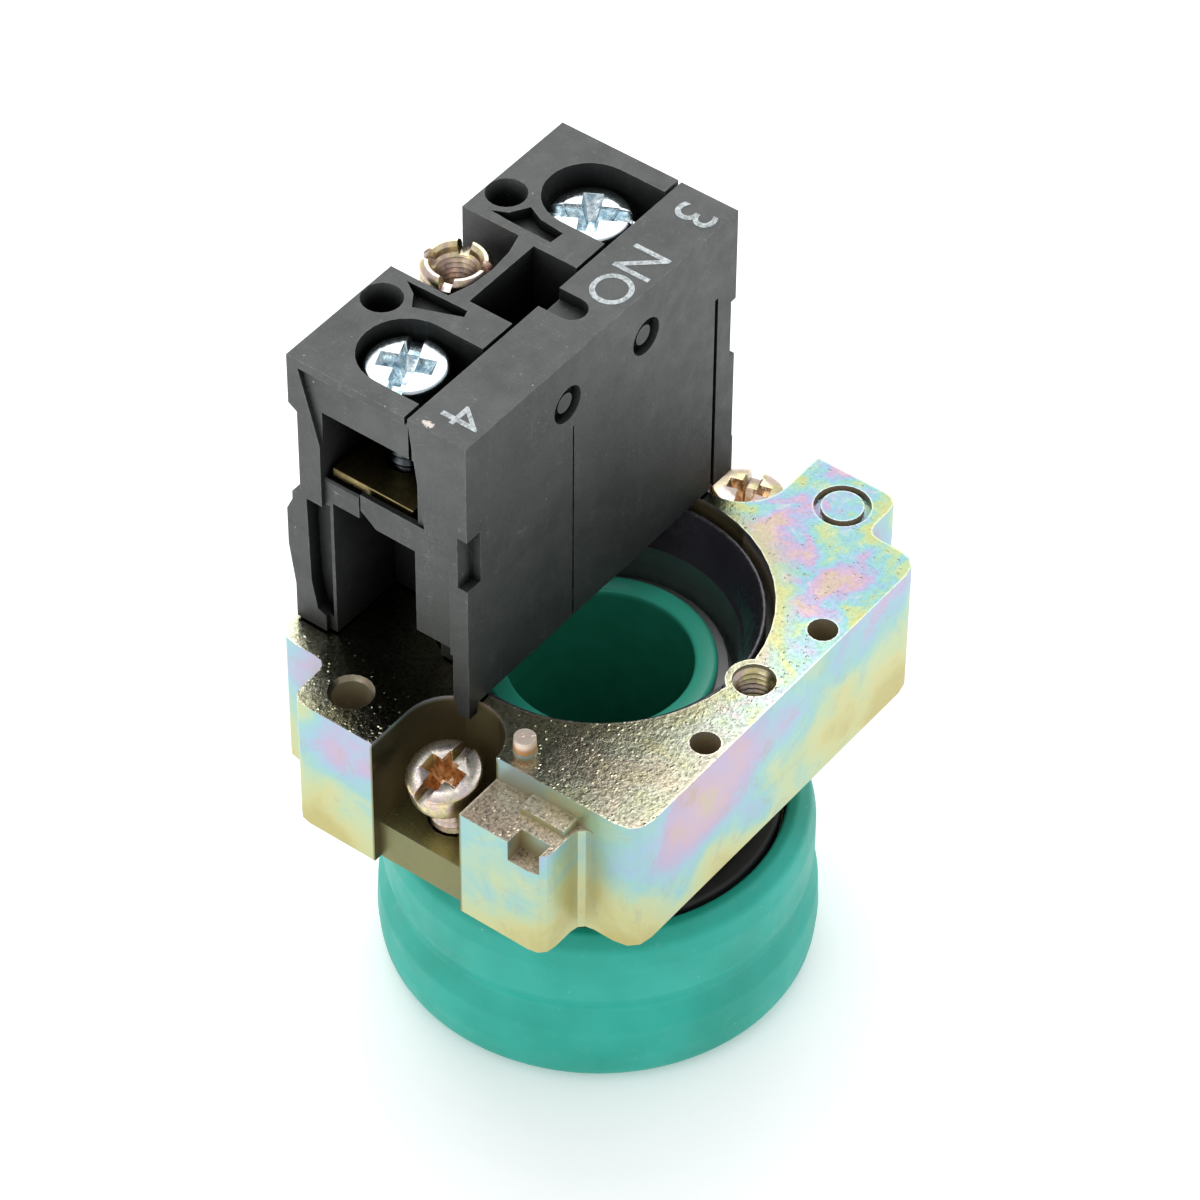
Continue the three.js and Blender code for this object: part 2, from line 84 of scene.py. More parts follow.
# ---- mesh helpers --------------------------------------------------------------------------
def add_mesh(name, verts, faces, sharp=35):
    """A new mesh object; edges folded by more than `sharp` degrees stay crisp."""
    mesh = bpy.data.meshes.new(name)
    mesh.from_pydata([tuple(v) for v in verts], [], faces)
    return add_object(name, mesh, sharp)


def shade_round(mesh, sharp):
    for polygon in mesh.polygons:
        polygon.use_smooth = True
    mesh.set_sharp_from_angle(angle=math.radians(sharp))


def add_object(name, mesh, sharp=35):
    mesh.validate()
    shade_round(mesh, sharp)
    obj = bpy.data.objects.new(name, mesh)
    bpy.context.scene.collection.objects.link(obj)
    return obj


def rounded_profile(corners, steps=5):
    """Rounds the corners of an outline given as (radius, z, rounding) in millimetres."""
    out = []
    for i, (r, z, radius) in enumerate(corners):
        here = Vector((r, z))
        if not radius:
            out.append(here)
            continue
        before = (Vector(corners[i - 1][:2]) - here).normalized()
        after = (Vector(corners[(i + 1) % len(corners)][:2]) - here).normalized()
        half = before.angle(after) / 2
        reach = radius / math.tan(half)
        centre = here + (before + after).normalized() * (radius / math.sin(half))
        start, end = here + before * reach - centre, here + after * reach - centre
        for step in range(steps + 1):
            t = step / steps
            out.append(centre + (start * (1 - t) + end * t).normalized() * radius)
    return out


def lathe(name, profile, segments=160, sharp=35, closed=True):
    """A piece turned about its own Z axis. The profile is (radius, z) pairs in millimetres."""
    points = [Vector(p) for p in profile]
    verts, faces = [], []
    for r, z in points:
        for i in range(segments):
            a = 2 * math.pi * i / segments
            verts.append((r * math.cos(a) * MM, r * math.sin(a) * MM, z * MM))
    rows = len(points)
    for j in range(rows if closed else rows - 1):
        here, there = j * segments, ((j + 1) % rows) * segments
        for i in range(segments):
            k = (i + 1) % segments
            faces.append((here + i, here + k, there + k, there + i))
    obj = add_mesh(name, verts, faces, sharp)
    merge(obj)
    return obj


def merge(obj):
    """Joins vertices that fall together and turns every face outwards."""
    together = 1e-7
    work = bmesh.new()
    work.from_mesh(obj.data)
    bmesh.ops.remove_doubles(work, verts=work.verts, dist=together)
    bmesh.ops.dissolve_degenerate(work, edges=work.edges, dist=together)
    bmesh.ops.recalc_face_normals(work, faces=work.faces)
    work.to_mesh(obj.data)
    work.free()


def keep_flat(obj):
    """Large faces stay flat; only the rounded edges beside them are shaded round."""
    step = obj.modifiers.new("flat_faces", "WEIGHTED_NORMAL")
    step.keep_sharp = True
    return obj


def round_edges(source, target, width, segments, fold=30):
    """Merges source's flat faces, rounds its folded edges and writes the result to target."""
    work = bmesh.new()
    work.from_mesh(source)
    bmesh.ops.remove_doubles(work, verts=work.verts, dist=2e-7)
    bmesh.ops.dissolve_limit(
        work, angle_limit=math.radians(1), verts=work.verts, edges=work.edges, delimit=set()
    )
    folded = [
        edge for edge in work.edges
        if len(edge.link_faces) == 2 and edge.calc_face_angle(0) > math.radians(fold)
    ]
    bmesh.ops.bevel(
        work, geom=folded, offset=width * MM, offset_type="OFFSET", segments=segments,
        profile=0.5, affect="EDGES", clamp_overlap=True,
    )
    work.to_mesh(target)
    work.free()


def refined(node, bevel, segments):
    """A finer stand-in for a CAD node: the same faces merged, with every folded edge rounded."""
    name = f"{node}_detail"
    mesh = bpy.data.meshes.new(name)
    round_edges(frame["nodes"][node].data, mesh, bevel, segments)
    mesh.materials.clear()
    return stand_for(keep_flat(add_object(name, mesh)), node)


def stand_for(obj, node):
    """obj replaces this CAD node, which is hidden."""
    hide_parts(node)
    return obj


def carve(obj, tool, operation="DIFFERENCE"):
    """Cuts tool out of obj, or joins it on, and removes tool."""
    step = obj.modifiers.new("carve", "BOOLEAN")
    step.operation, step.object, step.solver = operation, tool, "EXACT"
    graph = bpy.context.evaluated_depsgraph_get()
    made = bpy.data.meshes.new_from_object(obj.evaluated_get(graph))
    obj.modifiers.clear()
    obj.data = made
    bpy.data.objects.remove(tool)


def soften(obj, width, fold):
    """Rounds every edge folded by more than `fold` degrees."""
    round_edges(obj.data, obj.data, width, 2, fold)
    shade_round(obj.data, 40)


def loft(name, outlines):
    """A closed solid through outlines of equal length, each [(x, y, z), ...] in millimetres."""
    count = len(outlines[0])
    verts = [Vector(p) * MM for outline in outlines for p in outline]
    faces = [tuple(reversed(range(count)))]
    for j in range(len(outlines) - 1):
        for i in range(count):
            k = (i + 1) % count
            faces.append((j * count + i, j * count + k, (j + 1) * count + k, (j + 1) * count + i))
    faces.append(tuple(range((len(outlines) - 1) * count, len(outlines) * count)))
    obj = add_mesh(name, verts, faces)
    merge(obj)
    return obj


def bar(name, radius, middle, heights):
    """A round bar along Z, in millimetres."""
    turns = [2 * math.pi * i / 40 for i in range(40)]
    ring = [(middle[0] + radius * math.cos(a), middle[1] + radius * math.sin(a)) for a in turns]
    return loft(name, [[(x, y, z) for x, y in ring] for z in heights])


# ---- material helpers ----------------------------------------------------------------------
class Paint:
    """Builds one material. `where` is the place on the part in millimetres."""

    def __init__(self, name):
        self.material = bpy.data.materials.new(name)
        self.material.use_nodes = True
        self.tree = self.material.node_tree
        self.tree.nodes.clear()
        self.where = self.vector("SCALE", self.add("TexCoord").outputs["Object"], scale=1000)
        self.facing = self.add("NewGeometry").outputs["True Normal"]

    def add(self, kind, settings=None, **inputs):
        """A shader node of this kind; an underscore in an input's name stands for a space."""
        made = self.tree.nodes.new("ShaderNode" + kind)
        for key, value in (settings or {}).items():
            setattr(made, key, value)
        for key, value in inputs.items():
            self.feed(made.inputs[key.replace("_", " ")], value)
        return made

    def feed(self, socket, value):
        if isinstance(value, bpy.types.NodeSocket):
            self.tree.links.new(value, socket)
        else:
            socket.default_value = value

    def vector(self, operation, a, b=None, scale=None):
        made = self.add("VectorMath", {"operation": operation})
        self.feed(made.inputs[0], a)
        if b is not None:
            self.feed(made.inputs[1], b)
        if scale is not None:
            self.feed(made.inputs["Scale"], scale)
        return made.outputs["Value" if operation in ("DOT_PRODUCT", "LENGTH") else "Vector"]

    def math(self, operation, a, b=0.0):
        made = self.add("Math", {"operation": operation})
        self.feed(made.inputs[0], a)
        self.feed(made.inputs[1], b)
        return made.outputs[0]

    def noise(self, scale, detail=2.0, rough=0.5, distort=0.0, stretch=None):
        where = self.where if stretch is None else self.vector("MULTIPLY", self.where, stretch)
        made = self.add(
            "TexNoise", Vector=where, Scale=scale, Detail=detail, Roughness=rough,
            Distortion=distort,
        )
        return made.outputs[0]

    def cells(self, scale):
        """Distance to the nearest of many scattered points."""
        return self.add("TexVoronoi", Vector=self.where, Scale=scale).outputs["Distance"]

    def spread(self, value, low, high, to_low=0.0, to_high=1.0):
        """Stretches value from low..high to to_low..to_high, and stops at both ends."""
        made = self.add("MapRange", Value=value)
        for key, bound in (("From Min", low), ("From Max", high), ("To Min", to_low),
                           ("To Max", to_high)):
            made.inputs[key].default_value = bound
        return made.outputs[0]

    def ramp(self, value, stops):
        made = self.add("ValToRGB", Fac=value)
        ramp = made.color_ramp
        for i, (place, colour) in enumerate(stops):
            stop = ramp.elements[i] if i < 2 else ramp.elements.new(place)
            stop.position = place
            stop.color = (*colour, 1)
        return made.outputs[0]

    def mix(self, share, a, b, blend="MIX"):
        made = self.add("Mix", {"data_type": "RGBA", "blend_type": blend})
        for socket, value in ((0, share), (6, a), (7, b)):
            if isinstance(value, tuple):
                value = (*value, 1)
            self.feed(made.inputs[socket], value)
        return made.outputs[2]

    def edges(self, radius, low, high):
        """1 on folded edges, 0 on flat faces."""
        soft = self.add("Bevel", {"samples": 6}, Radius=radius * MM).outputs[0]
        flat = self.vector("DOT_PRODUCT", soft, self.facing)
        return self.spread(self.math("SUBTRACT", 1.0, flat), low, high)

    def open_air(self, reach, darkest):
        """1 on open faces, falling to `darkest` in hollows and corners."""
        around = self.add("AmbientOcclusion", {"samples": 8}, Distance=reach * MM)
        return self.spread(around.outputs["AO"], 0.3, 0.85, darkest, 1.0)

    def along(self, *axis):
        """How far along an axis a point lies, in millimetres."""
        return self.vector("DOT_PRODUCT", self.where, axis)

    def both(self, *masks):
        """The product of masks: 1 only where all of them are 1."""
        out = masks[0]
        for mask in masks[1:]:
            out = self.math("MULTIPLY", out, mask)
        return out

    def opposite(self, mask):
        return self.spread(mask, 0.0, 1.0, 1.0, 0.0)

    def shade(self, colour, amount):
        return self.vector("SCALE", colour, scale=amount)

    def dim(self, colour, mask, amount):
        """Scales colour by `amount` where mask is 1."""
        return self.shade(colour, self.spread(mask, 0.0, 1.0, 1.0, amount))

    def bump(self, height, strength, distance, normal=None):
        made = self.add("Bump", Height=height, Strength=strength, Distance=distance * MM)
        if normal is not None:
            self.feed(made.inputs["Normal"], normal)
        return made.outputs[0]

    def finish(self, colour, roughness, metal=0.0, normal=None, **extra):
        shader = self.add(
            "BsdfPrincipled", Base_Color=colour if not isinstance(colour, tuple) else (*colour, 1),
            Roughness=roughness, Metallic=metal,
        )
        if normal is not None:
            self.feed(shader.inputs["Normal"], normal)
        for key, value in extra.items():
            self.feed(shader.inputs[key.replace("_", " ")], value)
        self.add("OutputMaterial", Surface=shader.outputs[0])
        return self.material


# ---- materials -----------------------------------------------------------------------------
def boot_rubber():
    """Moulded green rubber with faint clouds and dust."""
    p = Paint("boot_rubber")
    cloud = p.noise(0.12, 3, 0.55)
    fine = p.noise(2.2, 4, 0.6)
    colour = p.mix(p.spread(cloud, 0.35, 0.65), (0.003, 0.33, 0.245), (0.015, 0.43, 0.34))
    dust = p.spread(p.noise(0.9, 6, 0.72), 0.56, 0.8, 0.0, 0.16)
    colour = p.mix(dust, colour, (0.25, 0.55, 0.48))
    speck = p.spread(p.cells(0.55), 0.0, 0.05, 0.45, 0.0)
    colour = p.mix(speck, colour, (0.5, 0.72, 0.66))
    rough = p.spread(p.noise(0.4, 4), 0.3, 0.7, 0.42, 0.58)
    normal = p.bump(fine, 0.08, 0.12)
    return p.finish(colour, rough, normal=normal, Specular_IOR_Level=0.5)


def tube_plastic():
    """Green plastic, with painted light on the tube's rim and a painted highlight on its edges."""
    p = Paint("tube_plastic")
    cloud = p.noise(0.5, 3)
    colour = p.mix(cloud, (0.015, 0.21, 0.12), (0.025, 0.31, 0.19))
    # painted light: the top of the rim is painted paler
    colour = p.mix(p.spread(p.along(0, 0, 1), 25.7, 26.2), colour, (0.05, 0.5, 0.34))
    # painted highlight: a pale line along the rounded edges
    edge = p.edges(0.25, 0.02, 0.3)
    colour = p.mix(p.both(edge, 0.45), colour, (0.25, 0.72, 0.55))
    normal = p.bump(p.noise(3.5, 3), 0.08, 0.1)
    return p.finish(colour, 0.36, normal=normal)


def gloss_black():
    """Shiny black plastic with a painted highlight, ragged like scratches, along its edges."""
    p = Paint("gloss_black")
    ripple = p.noise(0.5, 4, 0.6, 0.5)
    rough = p.spread(p.noise(1.4, 4), 0.35, 0.7, 0.1, 0.24)
    colour = p.mix(p.noise(0.25, 3), (0.018, 0.017, 0.022), (0.05, 0.046, 0.056))
    # painted highlight: a ragged pale line along the edges
    edge_glint = p.both(p.edges(0.25, 0.02, 0.2), p.spread(p.noise(1.8, 5, 0.7), 0.45, 0.6))
    colour = p.mix(p.both(edge_glint, 0.7), colour, (0.6, 0.6, 0.58))
    return p.finish(colour, rough, normal=p.bump(ripple, 0.28, 0.5))


def dusty_guide():
    """The guide round the tube: glossy wall, with dust and dried grease on its floor."""
    p = Paint("dusty_guide")
    grain = p.noise(2.5, 5, 0.7)
    wall = p.spread(p.along(0, 0, 1), 24.7, 25.2)
    smooth = p.mix(p.noise(0.4, 4), (0.035, 0.055, 0.047), (0.08, 0.11, 0.1))
    dusty = p.mix(p.spread(grain, 0.35, 0.65), (0.12, 0.13, 0.12), (0.26, 0.27, 0.26))
    colour = p.mix(wall, dusty, smooth)
    speck = p.spread(p.cells(1.1), 0.0, 0.08, 0.6, 0.0)
    colour = p.mix(speck, colour, (0.45, 0.46, 0.44))
    return p.finish(colour, p.spread(wall, 0, 1, 0.5, 0.22), normal=p.bump(grain, 0.2, 0.1))


def gasket_rubber():
    """Dull black rubber."""
    p = Paint("gasket_rubber")
    colour = p.mix(p.noise(0.8, 4), (0.006, 0.006, 0.006), (0.02, 0.02, 0.02))
    return p.finish(colour, 0.62, normal=p.bump(p.noise(5, 3), 0.15, 0.08))


CHIP = (-13.3, 3.7, 55.5)  # a pale bruise on the moulding's end, in millimetres


def block_plastic():
    """Black glass-filled moulding with worn edges, scuffs, hair scratches and pale specks; its end faces are
    painted lighter, and it has painted shade in hollows.
    """
    p = Paint("block_plastic")
    cloud = p.noise(0.16, 4, 0.6)
    colour = p.mix(p.spread(cloud, 0.3, 0.7), (0.03, 0.033, 0.031), (0.052, 0.055, 0.052))
    grain = p.noise(6, 5, 0.72)
    colour = p.mix(p.spread(grain, 0.5, 0.8, 0, 0.4), colour, (0.11, 0.112, 0.107))
    ragged = p.spread(p.noise(1.6, 5, 0.7), 0.42, 0.62)
    worn = p.both(p.edges(0.16, 0.04, 0.3), ragged)
    colour = p.mix(p.both(worn, 0.6), colour, (0.27, 0.275, 0.265))
    scuff = p.noise(0.9, 6, 0.75, stretch=(1.0, 1.0, 0.16))
    colour = p.mix(p.spread(scuff, 0.6, 0.78, 0, 0.3), colour, (0.17, 0.175, 0.168))
    for stretch in ((2.6, 0.2, 0.5), (0.22, 1.5, 1.9)):
        hair = p.noise(1.1, 2, 0.5, 0.3, stretch)
        near = p.math("ABSOLUTE", p.math("SUBTRACT", hair, 0.5))
        line = p.both(p.spread(near, 0.0, 0.004, 0.5, 0.0), p.spread(scuff, 0.5, 0.6))
        colour = p.mix(line, colour, (0.3, 0.3, 0.29))
    speck = p.spread(p.cells(0.6), 0.0, 0.05, 0.8, 0.0)
    colour = p.mix(speck, colour, (0.5, 0.51, 0.49))
    away = p.vector("MULTIPLY", p.vector("SUBTRACT", p.where, CHIP), (1.7, 0.7, 1.5))
    chip = p.math("ADD", p.vector("LENGTH", away), p.both(p.noise(1.7, 5, 0.8), 1.5))
    colour = p.mix(p.spread(chip, 1.05, 1.2, 0.85, 0.0), colour, (0.75, 0.66, 0.58))
    # painted light: faces towards ±X are painted lighter
    ends = p.math("ABSOLUTE", p.vector("DOT_PRODUCT", p.facing, (1.0, 0.0, 0.0)))
    colour = p.shade(colour, p.spread(ends, 0.7, 0.95, 1.0, 1.3))
    # painted shade in hollows and corners; the colour is also darker towards the collar
    hollow = p.open_air(7, 0.1)
    colour = p.shade(colour, p.both(hollow, p.spread(p.along(0, 0, 1), 33, 52, 0.6, 1.08)))
    rough = p.spread(p.noise(0.7, 5, 0.6), 0.3, 0.7, 0.38, 0.54)
    normal = p.bump(grain, 0.3, 0.09, p.bump(p.noise(0.3, 3), 0.2, 0.25))
    # painted shade also cuts the sheen in hollows
    return p.finish(colour, rough, normal=normal, Specular_IOR_Level=p.both(hollow, 0.5))


def printed_ink():
    """Worn pale ink."""
    p = Paint("printed_ink")
    wear = p.spread(p.noise(3.5, 5, 0.75), 0.38, 0.6)
    colour = p.mix(wear, (0.22, 0.24, 0.24), (0.6, 0.65, 0.65))
    return p.finish(colour, 0.6, normal=p.bump(p.noise(6, 3), 0.2, 0.05))


FILM = [  # the interference colours of the chromate film, in their order
    (0.0, (0.57, 0.51, 0.21)),
    (0.16, (0.64, 0.63, 0.31)),
    (0.32, (0.56, 0.67, 0.42)),
    (0.46, (0.38, 0.64, 0.60)),
    (0.58, (0.40, 0.60, 0.70)),
    (0.72, (0.56, 0.49, 0.66)),
    (0.84, (0.66, 0.50, 0.58)),
    (1.0, (0.66, 0.60, 0.36)),
]


def film_sides(p, patch):
    """Soft clouds of interference colour, yellower towards the front."""
    drift = p.noise(0.07, 2, 0.5, 0.4)
    film = p.math("ADD", p.both(drift, 1.1), p.both(patch, 0.35))
    film = p.math("ADD", film, p.spread(p.along(0, 0, 1), 20.7, 29.0, -0.18, 0.06))
    return p.shade(p.ramp(p.spread(film, 0.44, 1.04), FILM), 0.86)


def polished_back(p, patch, grain, dots):
    """Pastel patches towards +X, olive towards -X, yellow round the bore."""
    across = p.along(1, 0, 0)
    pastel = p.ramp(p.spread(p.noise(0.24, 4, 0.6, 0.4), 0.36, 0.66, 0.18, 0.92), FILM)
    pastel = p.mix(0.4, pastel, pastel, "MULTIPLY")
    reach = p.vector("LENGTH", p.vector("MULTIPLY", p.where, (1.0, 1.0, 0.0)))
    reach = p.math("ADD", reach, p.both(patch, 2.5))
    pastel = p.mix(p.spread(reach, 13.0, 15.0, 0.75, 0.0), pastel, (0.5, 0.5, 0.24))
    back = p.mix(p.spread(across, -9.0, 9.0, 0.85, 0.0), pastel, (0.54, 0.5, 0.33))
    dull = p.both(p.spread(grain, 0.36, 0.56, 1.0, 0.0), p.spread(across, -6.0, 10.0, 0.6, 0.18))
    back = p.mix(dull, back, (0.08, 0.08, 0.05))
    back = p.mix(p.both(dots, 0.7), back, (0.86, 0.78, 0.56))
    return p.shade(back, p.spread(across, -4.0, 10.0, 1.0, 0.52))


def casting():
    """Yellow chromate over a zinc die casting: clouds of interference colour, a polished back."""
    p = Paint("casting")
    patch = p.noise(0.28, 5, 0.65, 0.5)
    grain = p.noise(3.4, 6, 0.7)
    dots = p.both(p.spread(p.cells(2.4), 0.05, 0.3, 1.0, 0.0),
                  p.spread(p.noise(0.9, 5, 0.7), 0.46, 0.6))
    up = p.vector("DOT_PRODUCT", p.facing, (0.0, 0.0, 1.0))
    height, across = p.along(0, 0, 1), p.along(1, 0, 0)
    sand = p.spread(up, 0.6, 0.95)
    upright = p.opposite(sand)
    colour = p.mix(sand, film_sides(p, patch), polished_back(p, patch, grain, dots))

    # the slots of the clamp screws: olive, with painted light on the floor and painted shade on the walls
    slot = p.both(p.spread(p.math("ABSOLUTE", p.along(0, 1, 0)), 3.65, 3.8, 1.0, 0.0),
                  p.spread(height, COLLAR_BACK - 0.5, COLLAR_BACK - 0.1, 1.0, 0.0))
    ends = p.math("ABSOLUTE", p.vector("DOT_PRODUCT", p.facing, (1.0, 0.0, 0.0)))
    floor = p.both(slot, sand)
    colour = p.mix(p.both(slot, 0.85), colour, (0.5, 0.48, 0.2))
    # painted shade on the slot walls that face along Y
    colour = p.dim(colour, p.both(slot, p.spread(ends, 0.9, 0.98, 1.0, 0.0), upright), 0.3)
    # painted light on the slot floor
    colour = p.dim(colour, floor, 1.5)
    stain = p.both(p.spread(p.noise(0.55, 6, 0.75, 0.8), 0.56, 0.68), 0.4)
    colour = p.mix(stain, colour, (0.42, 0.36, 0.26))

    # the copper pegs and the two lowered pads
    peg = p.spread(height, COLLAR_BACK + 0.15, COLLAR_BACK + 0.3)
    tip = p.spread(height, COLLAR_BACK + 0.55, COLLAR_BACK + 0.9)
    colour = p.mix(peg, colour, p.mix(tip, (0.55, 0.26, 0.1), (0.86, 0.7, 0.58)))
    pad = p.both(p.spread(height, 27.9, 28.2), p.spread(height, 30.8, 31.2, 1.0, 0.0))
    pad = p.both(pad, p.both(sand, p.spread(grain, 0.38, 0.56, 0.3, 0.9)))
    colour = p.mix(pad, colour, (0.8, 0.62, 0.46))

    # painted highlights on the top rims, dark folds, gold in the hollows, and painted shade in the hollows and on
    # the slot walls
    ragged = p.spread(p.noise(2.5, 4, 0.7), 0.3, 0.5)
    # painted highlight: a ragged cream line on the rounded edges of upward faces
    rim = p.both(p.edges(0.3, 0.01, 0.16), ragged, sand, p.spread(across, -8.0, 8.0, 0.85, 0.3))
    colour = p.mix(rim, colour, (0.95, 0.88, 0.72))
    fold = p.both(p.spread(up, 0.45, 0.6), p.spread(up, 0.85, 0.93, 1.0, 0.0),
                  p.spread(ragged, 0.0, 1.0, 0.5, 0.85))
    colour = p.mix(fold, colour, (0.2, 0.13, 0.07))
    hollow = p.open_air(5, 0.0)
    deep = p.both(p.opposite(hollow), upright)
    colour = p.mix(p.both(deep, 0.85), colour, (0.62, 0.45, 0.2))
    # painted shade on the slot walls and in every hollow
    colour = p.dim(colour, p.both(slot, upright), 0.42)
    colour = p.shade(colour, p.spread(hollow, 0.0, 1.0, 0.55, 1.0))

    rough = p.mix(sand, p.mix(p.spread(patch, 0.3, 0.7), (0.34, 0.34, 0.34), (0.46, 0.46, 0.46)),
                  p.mix(floor, (0.11, 0.11, 0.11), (0.42, 0.42, 0.42)))
    metal = p.both(p.spread(deep, 0.0, 1.0, 1.0, 0.25),
                   p.spread(p.math("MAXIMUM", peg, pad), 0.0, 1.0, 1.0, 0.4))
    relief = p.both(grain, p.spread(sand, 0, 1, 0.25, 0.6))
    relief = p.math("ADD", relief, p.both(dots, sand))
    wavy = p.bump(p.noise(0.8, 4, 0.6), 0.16, 0.25)
    return p.finish(colour, rough, metal, p.bump(relief, 0.3, 0.15, wavy))


def yellow_zinc():
    """Yellow-passivated zinc on steel screws, mottled and paler on top, with painted shade in hollows."""
    p = Paint("yellow_zinc")
    film = p.spread(p.noise(0.5, 3, 0.6, 0.5), 0.3, 0.7, 0.0, 1.0)
    colour = p.ramp(film, [
        (0.0, (0.6, 0.52, 0.18)), (0.3, (0.8, 0.68, 0.36)), (0.55, (0.8, 0.57, 0.44)),
        (0.8, (0.68, 0.56, 0.52)), (1.0, (0.66, 0.64, 0.3)),
    ])
    grain = p.noise(2.5, 5, 0.7)
    mottle = p.spread(grain, 0.42, 0.58)
    top = p.spread(p.vector("DOT_PRODUCT", p.facing, (0.0, 0.0, 1.0)), 0.85, 0.96)
    top = p.both(top, p.spread(p.along(1, 0, 0), -12, 12, 0.65, 0.1))
    colour = p.mix(top, colour, (0.68, 0.64, 0.67))
    colour = p.mix(p.both(mottle, 0.45), colour, (0.36, 0.34, 0.34))
    # painted shade in the drive and in corners
    colour = p.shade(colour, p.open_air(2, 0.35))
    return p.finish(colour, p.spread(grain, 0.3, 0.7, 0.2, 0.36), 1.0, p.bump(grain, 0.14, 0.06))


def bright_zinc():
    """Blue-white zinc on the terminal screws, with painted shade in hollows and on their shanks."""
    p = Paint("bright_zinc")
    colour = p.mix(p.spread(p.noise(0.9, 4, 0.6), 0.3, 0.7), (0.48, 0.58, 0.62), (0.8, 0.84, 0.86))
    grain = p.noise(2.8, 5, 0.7)
    colour = p.mix(p.spread(grain, 0.42, 0.6, 0.0, 0.35), colour, (0.34, 0.41, 0.43))
    # painted shade in the drive and in corners
    colour = p.shade(colour, p.open_air(2, 0.4))
    # painted shade on the shank, deep in the well
    shank = p.spread(p.along(0, 0, 1), 51.2, 52.2, 0.12, 1.0)
    colour = p.shade(colour, shank)
    return p.finish(colour, p.spread(grain, 0.3, 0.7, 0.12, 0.28), 1.0, p.bump(grain, 0.15, 0.06))


def recess(name, low, high):
    """The drive of a screw: streaked, and stained deeper than its head."""
    p = Paint(name)
    streak = p.noise(1.6, 4, 0.6, 0.6)
    colour = p.mix(p.spread(streak, 0.36, 0.62), low, high)
    return p.finish(colour, 0.24, 1.0, p.bump(p.noise(2.5, 4), 0.4, 0.1))


def spring_steel():
    """Grey drawn wire."""
    p = Paint("spring_steel")
    grain = p.noise(6, 6, 0.75)
    colour = p.mix(grain, (0.2, 0.2, 0.2), (0.36, 0.36, 0.35))
    return p.finish(colour, p.spread(grain, 0.3, 0.7, 0.35, 0.6), 0.9, p.bump(grain, 0.3, 0.06))


def brass():
    """Stained brass, with painted shade inside its wells."""
    p = Paint("brass")
    stain = p.noise(0.6, 5, 0.65)
    colour = p.mix(p.spread(stain, 0.35, 0.65), (0.2, 0.15, 0.06), (0.5, 0.4, 0.18))
    # painted shade inside the wells
    colour = p.shade(colour, p.open_air(5, 0.3))
    return p.finish(colour, p.spread(stain, 0.3, 0.7, 0.45, 0.25), 1.0, p.bump(stain, 0.2, 0.1))


def silver():
    """Silver contact tips."""
    p = Paint("silver")
    grain = p.noise(4, 4)
    colour = p.mix(grain, (0.7, 0.69, 0.66), (0.9, 0.89, 0.87))
    return p.finish(colour, 0.3, 1.0, p.bump(grain, 0.2, 0.05))


def plunger_plastic():
    """Matt black plastic of the plunger and the bridge's cage."""
    p = Paint("plunger_plastic")
    colour = p.mix(p.noise(0.6, 4), (0.012, 0.012, 0.012), (0.028, 0.028, 0.028))
    return p.finish(colour, 0.5, normal=p.bump(p.noise(5, 3), 0.15, 0.05))


def floor_paper():
    """White paper that glows a little, so that the shadow stays faint."""
    p = Paint("floor_paper")
    colour = p.mix(p.noise(0.02, 2), (0.97, 0.97, 0.97), (0.99, 0.99, 0.99))
    return p.finish(colour, 0.9, Emission_Color=(1.0, 1.0, 1.0, 1.0), Emission_Strength=0.2)


looks = {
    "green_rubber": boot_rubber(),
    "green_plastic": tube_plastic(),
    "black_gloss_plastic": gloss_black(),
    "black_rubber": gasket_rubber(),
    "black_plastic": block_plastic(),
    "chromated_zinc_casting": casting(),
    "yellow_zinc_steel": yellow_zinc(),
    "bright_zinc_steel": bright_zinc(),
    "spring_steel": spring_steel(),
    "contact_brass": brass(),
    "silver_contact": silver(),
    "plunger_plastic": plunger_plastic(),
    "dusty_guide": dusty_guide(),
    "bright_recess": recess("bright_recess", (0.26, 0.38, 0.44), (0.84, 0.92, 0.95)),
    "yellow_recess": recess("yellow_recess", (0.42, 0.2, 0.06), (0.9, 0.7, 0.5)),
}
ink = printed_ink()


def paint(obj, material):
    obj.data.materials.clear()
    obj.data.materials.append(material)
    return obj


def dress(obj, node):
    """Gives a stand-in its node's material and lets it ride on its node's body."""
    paint(obj, looks[slot_of[node]])
    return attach(obj, body_of[node])


# ---- head ----------------------------------------------------------------------------------
def make_boot():
    """One turned skin in place of the rubber boot."""
    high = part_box("rubber_boot")[1] / MM
    r, top = high.x, high.z
    profile = rounded_profile([
        (0, 0, 0), (13.3, 0, 2.2), (r - 0.2, 0.6, 1.4), (r, 2.9, 1.6), (r - 0.1, 5.2, 1.1),
        (r - 0.95, 6.9, 0.9), (r - 0.4, 8.4, 1.3), (r - 0.42, 11.4, 1.4), (r - 0.75, 12.9, 1.0),
        (r - 1.7, top, 0.6), (13.0, top, 0.3), (13.0, 12.35, 0.2), (13.5, 12.2, 0.2),
        (13.5, 4, 1), (13, 1.6, 0.5), (0, 1.6, 0),
    ])
    obj = lathe("boot_skin", profile, 192, 60, closed=False)
    stand_for(obj, "rubber_boot")
    paint(obj, looks["green_rubber"])
    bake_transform(obj)


def make_tube():
    """The button's disc and the hollow tube behind it, with a groove under the rim."""
    low, high = (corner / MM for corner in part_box("push_button"))
    front, rim, disc = low.z, high.z, high.x
    profile = rounded_profile([
        (0, front, 0), (disc, front, 0.5), (disc, 3.6, 0.2), (8, 3.6, 0.2), (8, 24.7, 0.1),
        (7.5, 24.7, 0.05), (7.5, 25.8, 0.05), (8, 25.8, 0.05), (8, rim, 0.35), (6.4, rim, 0.25),
        (6.4, 7, 0.3), (0, 7, 0),
    ], 3)
    obj = lathe("button_tube", profile, 160, 50, closed=False)
    dress(stand_for(obj, "push_button"), "push_button")


